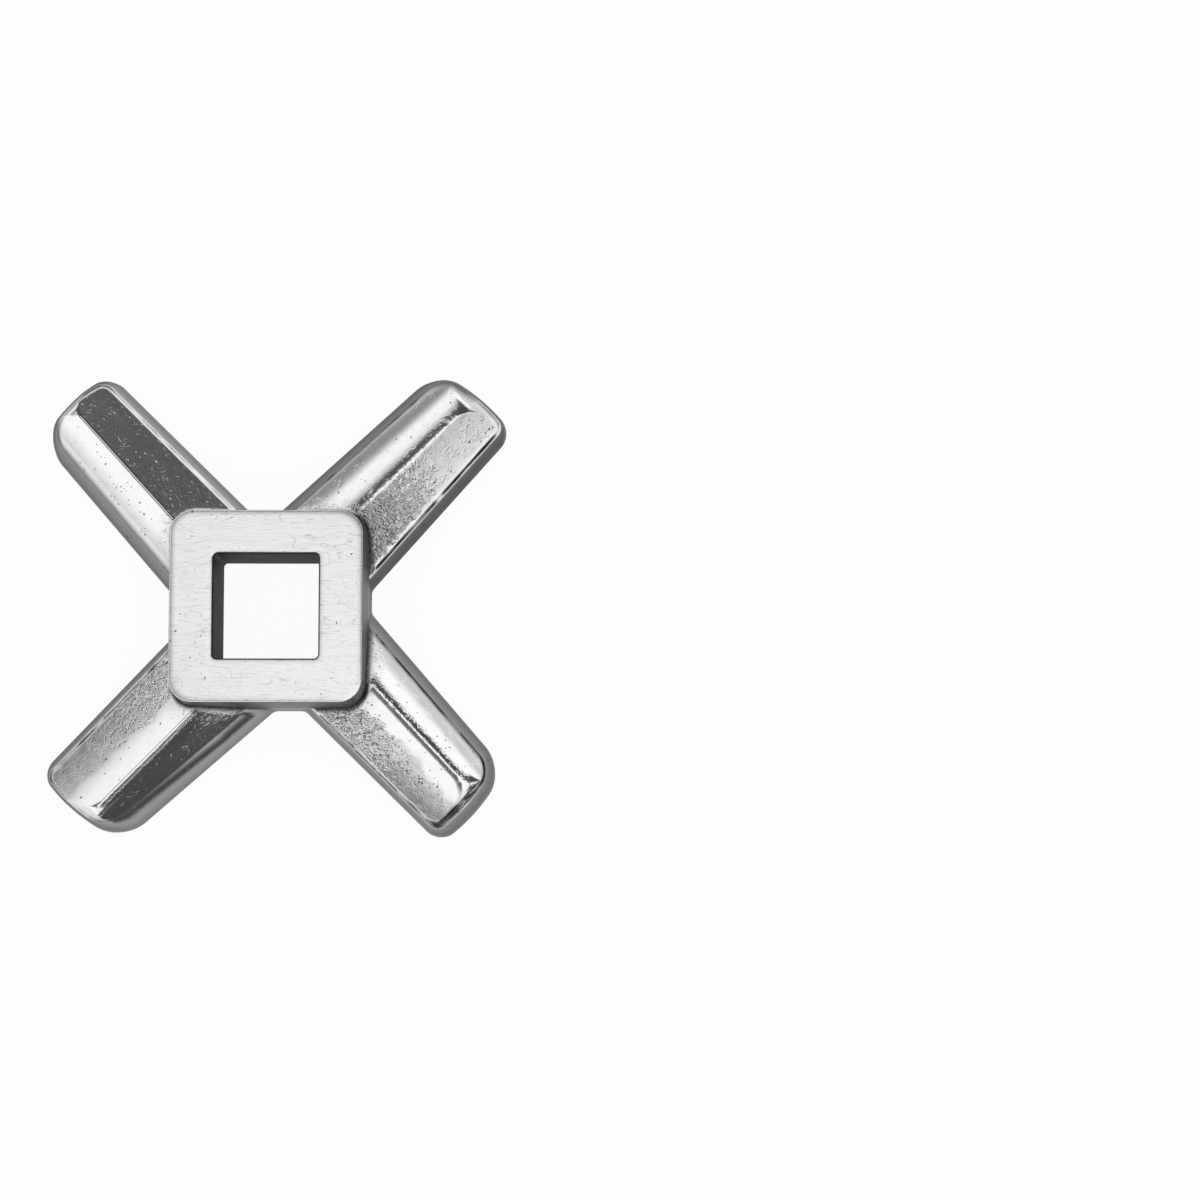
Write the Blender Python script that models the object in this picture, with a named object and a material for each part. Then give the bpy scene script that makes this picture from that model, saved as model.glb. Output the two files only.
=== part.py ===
"""Meat grinder knife: a four-armed cross cast in one piece of steel.

The cutting face is ground flat and lies at Z = 0. The square boss stands on it and rises along +Z, the
drive square runs through it on the Z axis, and the arms lie on the boss's diagonals. Each arm has a wall
that leans in all round, a steep flank, a crest and a gentle flank. No two arms came out of the mould quite
alike, so each has its own reach, sides and crest. Lengths are in metres.
"""

import math
from collections import namedtuple

import bmesh
import bpy

# Boss: the square block in the middle, measured at its top, under the rounded edge
KNIFE_HEIGHT = 0.0140
BOSS_WIDTH = 0.0259
BOSS_CORNER_RADIUS = 0.0031
BOSS_EDGE_RADIUS = 0.00045
BOSS_LEAN = 0.0004

# Drive square: the hole that the grinder's worm turns the knife by
SQUARE_WIDTH = 0.0140
SQUARE_CORNER_RADIUS = 0.0006
MOUTH_CHAMFER = 0.00025

# Arm outline at the cutting face: each side's distance from the arm's middle line, and the crowned tip
ARM_REACH = 0.0394
STEEP_SIDE_AT_AXIS = 0.0098
STEEP_SIDE_AT_TIP = 0.0072
GENTLE_SIDE_AT_AXIS = 0.0075
GENTLE_SIDE_AT_TIP = 0.0065
TIP_SLANT = math.radians(3.2)
TIP_CROWN_RADIUS = 0.0250
STEEP_TIP_RADIUS = 0.0048
GENTLE_TIP_RADIUS = 0.0027

# Arm section: the wall, then the two flanks that meet at the crest, whose offset is towards the steep side
STEEP_WALL_HEIGHT = 0.0036
STEEP_WALL_LEAN = 0.00145
GENTLE_WALL_HEIGHT = 0.0040
GENTLE_WALL_LEAN = 0.0011
CREST_HEIGHT = 0.0076
CREST_AT_AXIS = 0.0019
CREST_AT_TIP = 0.0012
STEEP_BULGE = 0.0006
GENTLE_HOLLOW = 0.0002

# Arm end and root: the flanks roll down to the end wall and sweep up into the boss
END_WALL_HEIGHT = 0.0048
END_WALL_LEAN = 0.00115
CREST_END_GAP = 0.0028
ROLL_LENGTH = 0.0045
ROLL_HEIGHT = 0.0038
ROLL_BLEND = 0.0010
ROOT_FILLET = 0.0009
ROOT_OVERLAP = 0.0020

# What its own casting adds to each arm, from the arm at 45 degrees round to the one at 315: to its reach and
# its end wall's lean, and to its steep side, its gentle side and its crest, each at the axis and at the tip.
# The reaches are evened out a little, so that the drive square stays in the middle of the knife's box
Casting = namedtuple("Casting", "reach end_lean steep gentle crest")
CASTINGS = (
    Casting(0.0008, -0.0004, (0.0002, 0.0011), (0.0004, -0.0010), (-0.0004, -0.0001)),
    Casting(0.0004, 0.0000, (-0.0008, -0.0012), (0.0001, 0.0007), (-0.0004, -0.0016)),
    Casting(-0.0009, -0.0003, (0.0004, 0.0003), (0.0004, 0.0003), (0.0003, 0.0014)),
    Casting(0.0001, 0.0007, (0.0004, 0.0001), (-0.0010, -0.0003), (0.0008, 0.0003)),
)

# Stock that grinding takes off the cutting face, the cutters' overrun and the distance that welds points
GRIND_STOCK = 0.0010
CUTTER_OVERRUN = 0.0020
WELD_DISTANCE = 0.0000001

# Mesh steps: round a quarter turn, over the boss's edge, along an arm, round a tip corner, across the end
CORNER_STEPS = 6
EDGE_STEPS = 3
LENGTH_STEPS = 9
TIP_STEPS = 8
END_STEPS = 6
CENTRE_TURNS = 6
SMOOTH_ANGLE = math.radians(28)

# Shares of the wall's height with those of its lean, of the way up a flank and of the fillet's reach
WALL_SHARES = ((0.0, 0.0), (0.5, 0.22), (0.85, 0.62), (1.0, 1.0))
FLANK_SHARES = (0.05, 0.12, 0.21, 0.32, 0.46, 0.62, 0.8, 1.0)
FILLET_SHARES = (0.12, 0.35, 0.65, 1.0)

# Steel
STEEL_COLOUR = (0.56, 0.55, 0.54, 1.0)
STEEL_METALLIC = 1.0
STEEL_ROUGHNESS = 0.32


def mix(first, second, share):
    return first + (second - first) * share


def mix_points(first, second, share):
    return tuple(mix(a, b, share) for a, b in zip(first, second))


def clear_scene():
    for obj in list(bpy.data.objects):
        bpy.data.objects.remove(obj, do_unlink=True)


def steel():
    material = bpy.data.materials.new("cast_steel")
    material.use_nodes = True
    shader = material.node_tree.nodes["Principled BSDF"]
    shader.inputs["Base Color"].default_value = STEEL_COLOUR
    shader.inputs["Metallic"].default_value = STEEL_METALLIC
    shader.inputs["Roughness"].default_value = STEEL_ROUGHNESS
    return material


def loft(name, rings, top_cap=True):
    """A mesh object through rings of points, capped flat at the lowest and, if asked, at the top one."""
    bm = bmesh.new()
    verts = [[bm.verts.new(point) for point in ring] for ring in rings]
    for lower, upper in zip(verts, verts[1:]):
        for place in range(len(lower)):
            after = (place + 1) % len(lower)
            bm.faces.new((lower[place], lower[after], upper[after], upper[place]))
    bm.faces.new(verts[0])
    if top_cap:
        bm.faces.new(verts[-1])
    bmesh.ops.remove_doubles(bm, verts=bm.verts, dist=WELD_DISTANCE)
    bmesh.ops.recalc_face_normals(bm, faces=bm.faces)
    mesh = bpy.data.meshes.new(name)
    bm.to_mesh(mesh)
    bm.free()
    mesh.shade_smooth()
    mesh.set_sharp_from_angle(angle=SMOOTH_ANGLE)
    obj = bpy.data.objects.new(name, mesh)
    bpy.context.scene.collection.objects.link(obj)
    return obj


# Boss and drive square


def rounded_square(half_width, corner_radius, height):
    """A ring of points round a square with round corners."""
    centre = half_width - corner_radius
    ring = []
    for quarter in range(4):
        diagonal = math.tau * (quarter + 0.5) / 4
        for step in range(CORNER_STEPS + 1):
            angle = math.tau * (quarter + step / CORNER_STEPS) / 4
            x = math.copysign(centre, math.cos(diagonal)) + corner_radius * math.cos(angle)
            y = math.copysign(centre, math.sin(diagonal)) + corner_radius * math.sin(angle)
            ring.append((x, y, height))
    return ring


def boss_half_width(height):
    """The boss's walls lean out by BOSS_LEAN on their way down to the cutting face."""
    return BOSS_WIDTH / 2 + BOSS_LEAN * (1 - height / KNIFE_HEIGHT)


def boss():
    """Rings up the leaning wall and over the rounded edge, closed by the flat top face."""
    shoulder = KNIFE_HEIGHT - BOSS_EDGE_RADIUS
    heights = (-GRIND_STOCK, shoulder)
    rings = [rounded_square(boss_half_width(height), BOSS_CORNER_RADIUS, height) for height in heights]
    for step in range(1, EDGE_STEPS + 1):
        turn = math.tau / 4 * step / EDGE_STEPS
        inward = BOSS_EDGE_RADIUS * (1 - math.cos(turn))
        height = shoulder + BOSS_EDGE_RADIUS * math.sin(turn)
        half_width = boss_half_width(shoulder) - inward
        rings.append(rounded_square(half_width, BOSS_CORNER_RADIUS - inward, height))
    return loft("knife", rings)


def boss_reach(y, height):
    """How far out along the arm the boss's rounded corner stands at offset y from the arm's middle line."""
    half_width = boss_half_width(height)
    if abs(y) * math.sqrt(2) > BOSS_CORNER_RADIUS:
        return half_width * math.sqrt(2) - abs(y)
    centre = (half_width - BOSS_CORNER_RADIUS) * math.sqrt(2)
    return centre + math.sqrt(BOSS_CORNER_RADIUS**2 - y**2)


def drive_square_cutter():
    """A square bar through the boss that flares at 45 degrees across its mouth, which cuts the chamfer."""
    straight = (SQUARE_WIDTH / 2, SQUARE_CORNER_RADIUS)
    flared = (SQUARE_WIDTH / 2 + MOUTH_CHAMFER * 2, SQUARE_CORNER_RADIUS + MOUTH_CHAMFER * 2)
    rings = [
        rounded_square(*straight, -GRIND_STOCK - CUTTER_OVERRUN),
        rounded_square(*straight, KNIFE_HEIGHT - MOUTH_CHAMFER),
        rounded_square(*flared, KNIFE_HEIGHT + MOUTH_CHAMFER),
        rounded_square(*flared, KNIFE_HEIGHT + CUTTER_OVERRUN),
    ]
    return loft("drive_square_cutter", rings)


def grinding_cutter():
    """A slab under Z = 0 that takes the cast stock off the cutting face."""
    heights = (-GRIND_STOCK - CUTTER_OVERRUN, 0)
    longest = ARM_REACH + max(casting.reach for casting in CASTINGS)
    rings = [rounded_square(longest + CUTTER_OVERRUN, CUTTER_OVERRUN, height) for height in heights]
    return loft("grinding_cutter", rings)


# Arm, drawn along +X with its steep side towards +Y. An inset moves its outline in, and a negative one out


class Side:
    """A straight side of an arm and the corner arc at its tip. Its sign is +1 when it lies towards +Y."""

    def __init__(self, sign, at_axis, at_tip, tip_radius, wall_height, wall_lean, bow):
        self.sign = sign
        self.at_axis = at_axis
        self.slope = (at_tip - at_axis) / ARM_REACH
        self.tip_radius = tip_radius
        self.wall_height = wall_height
        self.wall_lean = wall_lean
        self.bow = bow

    def y(self, x, inset):
        return self.sign * (self.at_axis + self.slope * x - inset * math.hypot(1, self.slope))

    def root(self, inset, height):
        """Where the side crosses the boss's wall, which stands at 45 degrees to the arm."""
        corner = boss_half_width(height) * math.sqrt(2)
        return (corner - self.sign * self.y(0, inset)) / (1 + self.slope)

    def normal(self):
        """Direction that the side faces, as an angle from +X."""
        return self.sign * math.atan2(1, -self.slope)

    def flank_height(self, climb):
        """Height of the flank at a share of the way from the wall's top to the crest."""
        return mix(self.wall_height, CREST_HEIGHT, climb) + self.bow * math.sin(math.pi * climb)


def stations():
    """Rows along an arm: a fixed distance past the boss's wall and a share of the remaining length."""
    near = [-ROOT_OVERLAP] + [ROOT_FILLET * share for share in FILLET_SHARES]
    rows = [(distance, 0) for distance in near]
    return rows + [(ROOT_FILLET, step / LENGTH_STEPS) for step in range(1, LENGTH_STEPS + 1)]


def fillet_growth(distance):
    """How much the section grows at a distance past the boss's wall: a quarter circle, then nothing."""
    left = min(max(1 - distance / ROOT_FILLET, 0), 1)
    return ROOT_FILLET * (1 - math.sqrt(1 - left**2))


def row_x(root, end, row):
    distance, share = row
    return root + distance + share * (end - root - ROOT_FILLET)


def roll_height(distance):
    """The parabola that the end rises by, at a distance in from the end wall's top."""
    left = max(1 - distance / ROLL_LENGTH, 0)
    return END_WALL_HEIGHT + ROLL_HEIGHT * (1 - left**2)


def lower_of(first, second):
    """The lower of two heights, rounded over ROLL_BLEND where they cross."""
    near = max(ROLL_BLEND - abs(first - second), 0)
    return min(first, second) - near**2 / (ROLL_BLEND * 4)


class Arm:
    """One arm: the shared measures above and what its own casting adds to them."""

    def __init__(self, casting):
        self.reach = ARM_REACH + casting.reach
        self.end_lean = END_WALL_LEAN + casting.end_lean
        steep = (STEEP_SIDE_AT_AXIS + casting.steep[0], STEEP_SIDE_AT_TIP + casting.steep[1])
        gentle = (GENTLE_SIDE_AT_AXIS + casting.gentle[0], GENTLE_SIDE_AT_TIP + casting.gentle[1])
        self.steep = Side(
            1, *steep, STEEP_TIP_RADIUS, STEEP_WALL_HEIGHT, STEEP_WALL_LEAN, STEEP_BULGE
        )
        self.gentle = Side(
            -1, *gentle, GENTLE_TIP_RADIUS, GENTLE_WALL_HEIGHT, GENTLE_WALL_LEAN, -GENTLE_HOLLOW
        )
        self.crest = (CREST_AT_AXIS + casting.crest[0], CREST_AT_TIP + casting.crest[1])

    def crest_y(self, x):
        return mix(*self.crest, x / ARM_REACH)

    def end_slope(self, y):
        """How fast the slanted and crowned end falls back towards the steep side."""
        return math.tan(TIP_SLANT) + y / TIP_CROWN_RADIUS

    def end_x(self, y, inset):
        """How far out the end lies at offset y."""
        crown = y * y / (2 * TIP_CROWN_RADIUS)
        return self.reach - y * math.tan(TIP_SLANT) - crown - inset * math.hypot(1, self.end_slope(y))

    def side_points(self, side, lean_share, height):
        """A side from the boss's wall to its tip arc, spread a little where the fillet grows the arm."""
        points = []
        for row in stations():
            inset = side.wall_lean * lean_share - fillet_growth(row[0])
            end = self.tip_arc(side, lean_share, (0,))[0][0]
            x = row_x(side.root(inset, height), end, row)
            points.append((x, side.y(x, inset)))
        return points

    def tip_arc(self, side, lean_share, shares):
        """Points of a tip corner, from its side to the end, whose lean turns from the side's to the end's."""
        x = self.reach
        for _ in range(CENTRE_TURNS):
            y = side.y(x, side.tip_radius)
            x = self.end_x(y, side.tip_radius)
        end_normal = math.atan(self.end_slope(y))
        points = []
        for share in shares:
            angle = mix(side.normal(), end_normal, share)
            radius = side.tip_radius - mix(side.wall_lean, self.end_lean, share) * lean_share
            points.append((x + radius * math.cos(angle), y + radius * math.sin(angle)))
        return points

    def tip_points(self, lean_share):
        """The tip from the steep side's arc, across the crowned end, to the gentle side's arc."""
        shares = [step / TIP_STEPS for step in range(TIP_STEPS + 1)]
        first = self.tip_arc(self.steep, lean_share, shares[1:])
        last = self.tip_arc(self.gentle, lean_share, shares[1:])[::-1]
        across = [mix(first[-1][1], last[0][1], step / END_STEPS) for step in range(1, END_STEPS)]
        return first + [(self.end_x(y, self.end_lean * lean_share), y) for y in across] + last

    def crest_points(self):
        """The crest from the boss's corner to its end, short of the tip."""
        root = boss_reach(self.crest_y(boss_reach(0, CREST_HEIGHT)), CREST_HEIGHT)
        end = self.reach - CREST_END_GAP
        return [(x, self.crest_y(x)) for x in (row_x(root, end, row) for row in stations())]

    def tip_height(self, x, y):
        """Height of the tip at a place: the flank as if the arm had no end, rolled down to the end wall."""
        side = self.steep if y > self.crest_y(x) else self.gentle
        edge = side.y(x, side.wall_lean)
        flank = side.flank_height((y - edge) / (self.crest_y(x) - edge))
        return lower_of(flank, roll_height(self.end_x(y, self.end_lean) - x))

    def wall_ring(self, height_share, lean_share):
        """A ring of the leaning wall, which rises where the fillet grows the arm."""
        growths = [fillet_growth(distance) for distance, _ in stations()]
        sides = []
        for side in (self.steep, self.gentle):
            plan = self.side_points(side, lean_share, side.wall_height * height_share)
            tops = [side.wall_height + growth for growth in growths]
            sides.append([point + (top * height_share,) for point, top in zip(plan, tops)])
        tip = zip(self.tip_points(lean_share), self.tip_points(1))
        tip = [point + (self.tip_height(*above) * height_share,) for point, above in tip]
        return sides[0] + tip + sides[1][::-1]

    def flank_ring(self, climb):
        """A ring of the flanks, this share of the way from the wall's top to the crest."""
        crest = self.crest_points()
        growths = [fillet_growth(distance) for distance, _ in stations()]
        sides = []
        for side in (self.steep, self.gentle):
            edge = self.side_points(side, 1, side.wall_height)
            plan = [mix_points(low, high, climb) for low, high in zip(edge, crest)]
            roll = [roll_height(self.end_x(y, self.end_lean) - x) for x, y in plan]
            heights = [lower_of(side.flank_height(climb), height) for height in roll]
            sides.append([point + (z + growth,) for point, z, growth in zip(plan, heights, growths)])
        plan = [mix_points(point, crest[-1], climb) for point in self.tip_points(1)]
        tip = [point + (self.tip_height(*point),) for point in plan]
        return sides[0] + tip + sides[1][::-1]

    def rings(self):
        """Rings up the wall, from below the cutting face, and up the flanks to the crest."""
        walls = [self.wall_ring(*shares) for shares in WALL_SHARES]
        stock = [(x, y, -GRIND_STOCK) for x, y, _ in walls[0]]
        return [stock] + walls + [self.flank_ring(climb) for climb in FLANK_SHARES]


def apply_tool(knife, tool, operation):
    """Joins or cuts the knife with a helper, which stays in the file as a wire guide."""
    tool.hide_render = True
    tool.display_type = "WIRE"
    modifier = knife.modifiers.new(tool.name, "BOOLEAN")
    modifier.operation = operation
    modifier.solver = "EXACT"
    modifier.object = tool


def main():
    clear_scene()
    knife = boss()
    knife.data.materials.append(steel())
    for number, casting in enumerate(CASTINGS):
        arm = loft(f"arm_{number + 1}", Arm(casting).rings(), top_cap=False)
        arm.rotation_euler.z = math.tau * (number + 0.5) / len(CASTINGS)
        apply_tool(knife, arm, "UNION")
    apply_tool(knife, drive_square_cutter(), "DIFFERENCE")
    apply_tool(knife, grinding_cutter(), "DIFFERENCE")


main()
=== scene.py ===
import math

import bmesh
import bpy
import numpy as np
from mathutils import Matrix

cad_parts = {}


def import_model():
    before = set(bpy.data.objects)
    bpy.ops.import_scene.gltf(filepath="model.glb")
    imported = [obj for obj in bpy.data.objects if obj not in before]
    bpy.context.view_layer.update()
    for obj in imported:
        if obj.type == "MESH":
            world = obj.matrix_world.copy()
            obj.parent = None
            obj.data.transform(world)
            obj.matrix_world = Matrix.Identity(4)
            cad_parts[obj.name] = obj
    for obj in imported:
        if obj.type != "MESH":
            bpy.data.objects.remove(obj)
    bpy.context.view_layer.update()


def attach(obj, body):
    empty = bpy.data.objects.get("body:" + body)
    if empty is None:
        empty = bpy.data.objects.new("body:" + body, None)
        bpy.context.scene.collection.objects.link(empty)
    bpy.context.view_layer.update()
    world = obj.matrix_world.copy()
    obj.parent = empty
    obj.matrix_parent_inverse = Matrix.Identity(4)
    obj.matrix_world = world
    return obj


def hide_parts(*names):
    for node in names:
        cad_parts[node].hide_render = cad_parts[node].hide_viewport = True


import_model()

# Meat grinder knife, dressed: the knife as it came out of its own mould, with ground faces and cast skin.
# Shapes are worked out in millimetres and scaled once, when a mesh is made.
MM = 0.001

# Camera: the photograph's view, from the place in it that lies straight under the lens
PHOTO_SIZE = 1200
FOCAL_PIXELS = 2909
UNDER_LENS = (530, 852)
CAMERA_PLACE = (35.18, -32.59, 400.0)
SENSOR_WIDTH = 36
CLIP_START = 0.01

# Boss: half its width at the top, how much more it is at the cutting face, and its corners and edges
KNIFE_HEIGHT = 14.0
BOSS_HALF_WIDTH = 12.83
BOSS_LEAN = 0.52
BOSS_CORNER = 3.1
BOSS_EDGE = 0.25
BOSS_EDGE_REACH = 16.2
SQUARE_HALF_WIDTH = 7.0
SQUARE_CORNER = 0.6
MOUTH_ROUNDING = 0.25

# Arm section
STEEP_WALL_TOP = 3.6
GENTLE_WALL_TOP = 4.0
CREST_HEIGHT = 7.6
NOMINAL_REACH = 39.3
ROOT_X = 17.0
ROOT_FILLET = 0.95
CROTCH_SOFTENING = 0.55

# Foot of the end's roll: half the width over which it goes from one flank's foot to the other's, and how far
# in from the end tip_top has its say; then the roll's slope past the crest's height
SIDE_BLEND, TIP_BLEND = 4.0, 4.5
ROLL_RUN_ON = 0.9
# How broadly the roll and the steep flank meet: a share of their rise, up to this
SHOULDER_SHARE, SHOULDER_MOST = 0.55, 1.0
# Where along an arm the ridge's rounding changes, and how it narrows at the edge
RIDGE_SPAN = (ROOT_X + 2, ROOT_X + 11)
RIDGE_EDGE, RIDGE_LEAST = 0.8, 0.02
# Lengths over which a border is drawn to its end
BORDER_EASE, RIM_EASE = 0.25, 0.2
# A blend so narrow that it shows as none
NO_BLEND = 1e-6

# Parting groove: how far in from the edge it runs, half widths of it and of its painted shade, the shade's
# strength, mean, least and greatest share of its depth, where the end's value gives way, where its
# gentle half starts
GROOVE_IN = 0.24
GROOVE_WIDTH, GROOVE_SHADE_WIDTH, GROOVE_SHADE = 0.11, 0.19, 7
GROOVE_SHARES = (0.75, 0.15, 1.2)
GROOVE_END, GENTLE_HALF = (0.6, 2.5), (-1.0, 2.0)

# Marks and skin: a pair is where something starts and stops changing, from the edge, the crest or the boss,
# or a bell's centre and width
POLISHED_SHARE = 0.2
NEAR_BOSS, BY_BOSS, HAMMERED, OFF_BOSS = (0.6, 3.0), (2.0, 15.0), (1.0, 11.0), (0.1, 1.2)
WRINKLES_FAR, WRINKLES_BY_BOSS, WRINKLES_AT_BOSS = 0.15, 1.1, 0.25
ROUGH_AT_BOSS, ROUGH_MOTTLE, PITS_AT_BOSS = 0.5, 0.6, 0.25
CREST_SWITCH = 0.3
MOTTLE_BELL, PIT_BELL = (-0.6, 0.7), (0.45, 0.30)
# Painted shade along the arms' root by the boss: where it starts and stops fading, and its fade in from the
# edge
ROOT_SHADE_BAND, BAND_EDGE = (0.15, 0.95), 0.3
# Painted shade on the steep flank's foot: width, where the end's width gives way, reach per unit of end_shade
FOOT_SHADE, SHADE_END, SHADE_REACH = 0.9, (0.6, 3.0), (1.76, 4.4)
RIPPLES_START, RIPPLES_STOP, RIPPLE_LENGTH = (0.0, 0.4), (1.1, 1.9), 0.62
SKIN_EDGE, SKIN_ROOT = (0.0, 0.6), (0.2, 1.6)

# Soft noises: cells across the lattice of each, then height, cell and step from the arm's seed
NOISE_CELLS = 400
WAVES = ((0.010, 5.0, 0), (0.004, 2.3, 1))
DENTS = ((0.007, 1.1, 2), (0.005, 0.6, 3))
WANDER = ((0.5, 3.1, 20), (0.3, 1.2, 21))
RIPPLE_SWAY = ((0.6, 9.0, 30),)
GROOVE_BREAKS = ((0.5, 1.7, 50),)

# Boss: angles at which the finish changes over its edge and over the square's, and marks of its wall:
# darkening that is partly dull skin and partly painted shade, roughness, and painted shade along its root
CAST_ANGLE, MOUTH_ANGLE = 1.0, 0.5
BOSS_DULL_AND_SHADE, BOSS_ROUGH, BOSS_PAINTED_SHADE, BOSS_PAINTED_SHADE_RISE = 0.80, 0.6, 0.9, 0.7

# How often a place that depends on itself is worked out again
PLACE_ROUNDS, CREST_ROUNDS, ROOT_ROUNDS, FOOT_ROUNDS = 6, 12, 20, 4

# Grid: steps across each flank, along an arm, round the crotch between two arms
STEEP_COLUMNS = 36
GENTLE_COLUMNS = 48
ARM_ROWS = 132
CROTCH_COLUMNS = 12
BOSS_WALL_STEPS = 12
EDGE_STEPS = 4
FACE_STEPS = 8
SQUARE_STEPS = 6

# Steps up the wall, each one's share of its lean, where its darkening (dull skin and painted shade) fades,
# and how many steps of a side and of the end lie on a tip's corner
WALL_STEPS = np.array([0, 0.12, 0.30, 0.48, 0.62, 0.74, 0.84, 0.92, 0.97, 1.0])
WALL_LEANS = 0.35 * WALL_STEPS + 0.65 * WALL_STEPS**4
WALL_FADE = (0.85, 1.15)
CORNER_ROWS, CORNER_COLUMNS = 12, 8

# Finishes, in the order of the knife's material slots
CAST, GROUND, BORE, CUTTING = range(4)
EDGE_TINT = (0.45, 0.45, 0.45, 1)
POLISHED_COLOUR = (0.82, 0.815, 0.81, 1)
ROUGH_COLOUR = (0.70, 0.695, 0.695, 1)
# Near black: painted shade on the steep flank's foot, in grooves and along roots, and on walls partly dull
# skin
DULL_AND_SHADE_COLOUR = (0.10, 0.098, 0.10, 1)
GROUND_COLOURS = (0.95, 0.935, 0.925, 1), (0.89, 0.875, 0.865, 1)
# Near black: painted shade inside the square hole
SQUARE_SHADE_COLOURS = (0.013, 0.011, 0.010, 1), (0.046, 0.040, 0.037, 1)
CUTTING_COLOURS = (0.78, 0.775, 0.77, 1), (0.66, 0.655, 0.65, 1)
MARKS = ("rough_skin", "wrinkles", "wall", "painted_shade", "pitted")
WELD = 0.0002
SHARP_ANGLE = math.radians(31)


class Arm:
    """One arm as it came out of the mould, in its own axes: x outwards, y towards its steep side.

    Its measures are attributes, under the names that MEASURES gives them."""

    def __init__(self, **measures):
        self.__dict__.update(measures)

    def crest_y(self, x):
        return self.crest[0] + self.crest[1] * x

    def end_line(self, y):
        return self.reach - self.slant * y - END_CROWN * y * y

    def feet_at(self, x):
        """Heights at which the steep and the gentle flank start, rising evenly from the boss to the tip."""
        out = np.clip((x - ROOT_X) / (self.reach - ROOT_X), 0, 1)
        return STEEP_WALL_TOP + self.feet[0] * out, GENTLE_WALL_TOP + self.feet[1] * out


# The four arms, in columns, with lengths in millimetres
# reach, slant: how far out the end stands, and how much it falls back for each millimetre to the steep side
# steep, gentle: each side's distance from the middle line, at the axis and at the tip
# crest: its offset at the axis and its drift for each millimetre out
# ridge: how broadly the crest is rounded at the boss and at the tip
# feet: how much higher the steep and the gentle flank start at the tip than at the boss
# steep_curve, gentle_curve: slope at a flank's foot and at the crest, as shares of its mean slope
# lip: width of the gentle flank's rim and the slope that it adds there
# roll, tip_top: length over which the end rises to the crest, from this height
# walls: how far the walls lean in; grooves: depth of the groove over them; dull: how dark they are made,
# partly dull skin and partly painted shade, and how strong the painted shade on the steep flank's foot is
# (each for the steep side, the end and the gentle side)
# end_groove: how much broader the groove and its painted shade are along the gentle half of the end
# end_shade: width of the painted shade on the steep flank's foot by the end
# skin: where the rough skin starts and is full, from the crest to the gentle side; bare: its roughness
# clean: width of the polished rim outside the rough skin
# hammer: how strong its dents are at the boss; wrinkles: strength of its fine wrinkles
# ripple: height of the ripples on the crest's steep side; mottle: strength of the wrinkles there
# pitted: how thick pits lie along the middle of the steep and of the gentle flank
MEASURES = dict(
    turn=np.radians((45, 135, 225, 315)),
    reach=(41.11, 40.16, 38.17, 38.82),
    slant=(0.050, 0.043, 0.078, 0.050),
    steep=((10.0, 8.27), (8.96, 6.02), (10.15, 7.51), (10.16, 7.26)),
    gentle=((7.87, 5.51), (7.62, 7.24), (7.93, 6.82), (6.50, 6.16)),
    crest=((1.22, -0.010), (1.50, -0.048), (2.23, 0.0085), (2.95, -0.030)),
    ridge=((0.0, 0.020), (0.20, 0.20), (0.12, 0.12), (1.0, 1.0)),
    feet=((0.3, 0.75), (0.3, 0.65), (1.9, 0.2), (0.5, 0.4)),
    steep_curve=((1.42, 0.08), (1.75, 0.62), (0.95, 0.60), (1.25, 0.45)),
    gentle_curve=((0.86, 1.12), (0.98, 1.02), (0.72, 1.50), (0.65, 1.55)),
    lip=((0.9, -0.20), (0.6, 0.35), (0.5, 0.0), (0.5, 0.15)),
    roll=(2.7, 1.2, 2.2, 2.6),
    tip_top=(4.9, 6.4, 5.5, 5.8),
    walls=((1.40, 0.75, 1.02), (1.55, 1.15, 1.23), (2.35, 0.80, 1.28), (1.30, 1.45, 0.97)),
    grooves=((0.10, 0.10, 0.17), (0.03, 0.10, 0.05), (0.0, 0.05, 0.13), (0.12, 0.30, 0.10)),
    dull=((0.85, 0.80, 0.93), (0.78, 0.85, 0.66), (0.68, 0.74, 0.80), (0.78, 0.78, 0.69)),
    end_groove=(1.0, 1.0, 1.0, 2.6),
    end_shade=(1.9, 0.9, 0.9, 0.9),
    skin=((-0.1, 0.4), (0.1, 0.4), (3.0, 4.2), (1.9, 3.2)),
    bare=(0.80, 0.25, 1.0, 1.0),
    clean=(1.4, 0.5, 0.5, 0.6),
    hammer=(3.0, 0.0, 0.8, 0.8),
    wrinkles=(1.0, 0.04, 0.45, 0.6),
    ripple=(0.0, 0.0, 0.012, 0.0),
    mottle=(0.22, 0.0, 0.08, 0.22),
    pitted=((0.15, 0.20), (0.8, 0.25), (0.1, 0.7), (0.3, 1.0)),
    seed=(11, 12, 13, 14),
)
ARMS = [Arm(**{name: column[number] for name, column in MEASURES.items()}) for number in range(4)]
# End: its crown, slopes of its roll, and corner radii (steep, gentle) at the cutting face and at the top
END_CROWN = 0.020
ROLL_CURVE = (1.7, 0.3)
BASE_RADII = (3.8, 2.4)
TOP_RADII = (2.5, 1.3)


def mix(first, second, share):
    return first + (second - first) * share


def smooth_step(low, high, value):
    """0 below low, 1 above high, and three t squared less two t cubed between them."""
    t = np.clip((value - low) / (high - low), 0, 1)
    return t * t * (3 - 2 * t)


def bell(value, centre, width):
    return np.exp(-(((value - centre) / width) ** 2))


def eased(t):
    """Six t to the fifth, less fifteen t to the fourth, plus ten t cubed: level at 0 and at 1."""
    return t * t * t * (t * (t * 6 - 15) + 10)


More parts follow.
